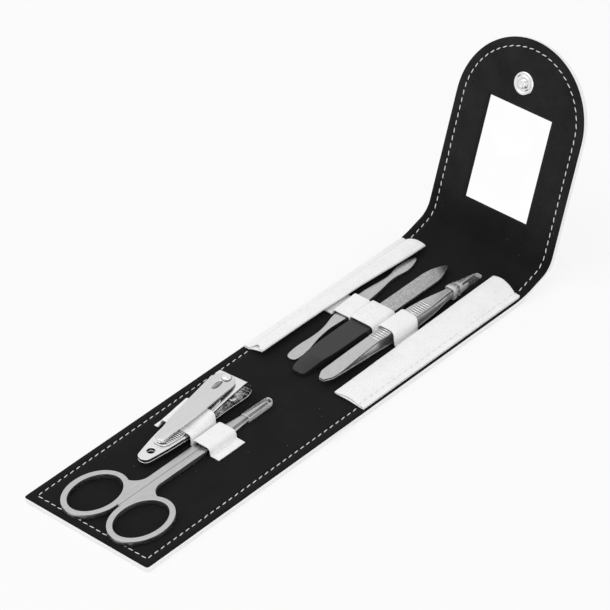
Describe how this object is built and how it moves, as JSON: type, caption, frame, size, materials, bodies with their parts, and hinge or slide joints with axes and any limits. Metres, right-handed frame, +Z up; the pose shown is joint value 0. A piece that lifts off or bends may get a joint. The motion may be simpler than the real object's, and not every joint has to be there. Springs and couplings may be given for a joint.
{
  "type": "manicure set case",
  "caption": "Open tri-fold manicure case in white leatherette with black lining, mirror flap, snap, scissors, nail clipper, cuticle tool, file and tweezers.",
  "frame": {"origin": "centre of the open case's outline on the surface it lies on", "axes": "+Z up from that surface, +Y along the case from the free end towards the flap, +X to the right"},
  "size_m": [0.063, 0.2612, 0.0857],
  "materials": {
    "white_leather": "white grained leatherette",
    "black_lining": "black velour",
    "board": "grey-brown board",
    "mirror": "mirror glass",
    "snap_metal": "bright nickel",
    "satin_steel": "satin steel",
    "bright_steel": "polished steel",
    "black_handle": "satin black plastic",
    "file_steel": "etched grey steel",
    "clear_vinyl": "clear smoky vinyl"
  },
  "bodies": {
    "middle_panel": {"middle_cover": "white_leather", "middle_board": "board", "middle_lining": "black_lining", "left_gusset_hem": "white_leather", "right_gusset_hem": "white_leather", "middle_strap": "white_leather"},
    "left_gusset": {"left_gusset_wing": "white_leather"},
    "right_gusset": {"right_gusset_wing": "white_leather"},
    "lower_spine": {"lower_spine_cover": "white_leather", "lower_spine_lining": "black_lining"},
    "lower_panel": {"lower_cover": "white_leather", "lower_board": "board", "lower_lining": "black_lining", "lower_strap": "white_leather", "snap_socket": "snap_metal"},
    "flap_spine": {"flap_spine_cover": "white_leather", "flap_spine_lining": "black_lining"},
    "flap": {"flap_cover": "white_leather", "flap_board": "board", "flap_lining": "black_lining", "mirror": "mirror", "snap_stud": "snap_metal", "snap_cap": "snap_metal"},
    "scissors": {"scissors_screw": "satin_steel"},
    "scissors_left": {"scissors_left_half": "satin_steel"},
    "scissors_right": {"scissors_right_half": "satin_steel"},
    "sleeve": {"scissors_sleeve": "clear_vinyl"},
    "clipper": {"clipper_lower_arm": "bright_steel", "clipper_rivet": "bright_steel", "clipper_file": "satin_steel"},
    "clipper_top": {"clipper_upper_arm": "bright_steel"},
    "clipper_post": {"clipper_pin": "bright_steel"},
    "lever": {"clipper_lever": "bright_steel"},
    "cuticle_tool": {"cuticle_tool": "satin_steel"},
    "nail_file": {"nail_file_handle": "black_handle", "nail_file_blade": "file_steel"},
    "tweezers": {"tweezers_lower_arm": "satin_steel", "tweezers_cap": "clear_vinyl"},
    "tweezers_top": {"tweezers_upper_arm": "satin_steel"}
  },
  "joints": [
    {"name": "flap_spine_fold", "type": "hinge", "parent": "middle_panel", "child": "flap_spine", "pos_m": [0, 0.082, 0.0028], "axis": [1, 0, 0], "range_deg": [-17, 73]},
    {"name": "flap_fold", "type": "hinge", "parent": "flap_spine", "child": "flap", "pos_m": [0, 0.09768, 0.00759], "axis": [1, 0, 0], "range_deg": [-51, 38.2]},
    {"name": "lower_spine_fold", "type": "hinge", "parent": "middle_panel", "child": "lower_spine", "pos_m": [0, -0.018, 0.0028], "axis": [-1, 0, 0], "range_deg": [0, 90]},
    {"name": "lower_fold", "type": "hinge", "parent": "lower_spine", "child": "lower_panel", "pos_m": [0, -0.031, 0.0028], "axis": [-1, 0, 0], "range_deg": [0, 90]},
    {"name": "left_gusset_lift", "type": "hinge", "parent": "middle_panel", "child": "left_gusset", "pos_m": [-0.0279, 0.03465, 0.0042], "axis": [0, 1, 0], "range_deg": [-75, 0]},
    {"name": "right_gusset_lift", "type": "hinge", "parent": "middle_panel", "child": "right_gusset", "pos_m": [0.0279, 0.03465, 0.0042], "axis": [0, -1, 0], "range_deg": [-75, 0]},
    {"name": "scissors_slide", "type": "slide", "parent": "lower_panel", "child": "scissors", "axis": [0, 1, 0], "range_m": [-0.042, 0]},
    {"name": "scissors_left_swing", "type": "hinge", "parent": "scissors", "child": "scissors_left", "pos_m": [0.0009, -0.0624, 0.004], "axis": [0, 0, 1], "range_deg": [-5, 0], "deforming": ["scissors_sleeve"]},
    {"name": "scissors_right_swing", "type": "hinge", "parent": "scissors", "child": "scissors_right", "pos_m": [0.0009, -0.0624, 0.004], "axis": [0, 0, 1], "range_deg": [0, 5]},
    {"name": "sleeve_slide", "type": "slide", "parent": "scissors", "child": "sleeve", "axis": [0, -1, 0], "range_m": [-0.0125, 0]},
    {"name": "clipper_slide", "type": "slide", "parent": "lower_panel", "child": "clipper", "axis": [0.0732, -0.9973, 0], "range_m": [-0.004, 0]},
    {"name": "jaw_squeeze", "type": "hinge", "parent": "clipper", "child": "clipper_top", "pos_m": [-0.0102, -0.0903, 0.00565], "axis": [0.9973, 0.0732, 0], "range_deg": [-0.85, 0], "stiffness_Nm_per_rad": 8},
    {"name": "lever_swing", "type": "hinge", "parent": "clipper", "child": "clipper_post", "pos_m": [-0.01396, -0.03904, 0.0116], "axis": [0, 0, 1], "range_deg": [-180, 0]},
    {"name": "lever_tilt", "type": "hinge", "parent": "clipper_post", "child": "lever", "pos_m": [-0.0141, -0.03718, 0.0121], "axis": [0.9973, 0.0732, 0], "range_deg": [-150, 0]},
    {"name": "cuticle_tool_slide", "type": "slide", "parent": "middle_panel", "child": "cuticle_tool", "axis": [-0.0698, 0.9976, 0], "range_m": [-0.012, 0]},
    {"name": "nail_file_slide", "type": "slide", "parent": "middle_panel", "child": "nail_file", "axis": [0, 1, 0], "range_m": [-0.014, 0]},
    {"name": "tweezers_slide", "type": "slide", "parent": "middle_panel", "child": "tweezers", "axis": [0.0262, 0.9997, 0], "range_m": [-0.04, 0]},
    {"name": "tweezers_squeeze", "type": "hinge", "parent": "tweezers", "child": "tweezers_top", "pos_m": [0.00874, -0.0018, 0.006], "axis": [0.9997, -0.0262, 0], "range_deg": [-0.8, 0], "stiffness_Nm_per_rad": 8}
  ],
  "couplings": [
    {"joint": "scissors_right_swing", "follows": "scissors_left_swing", "ratio": -1}
  ]
}
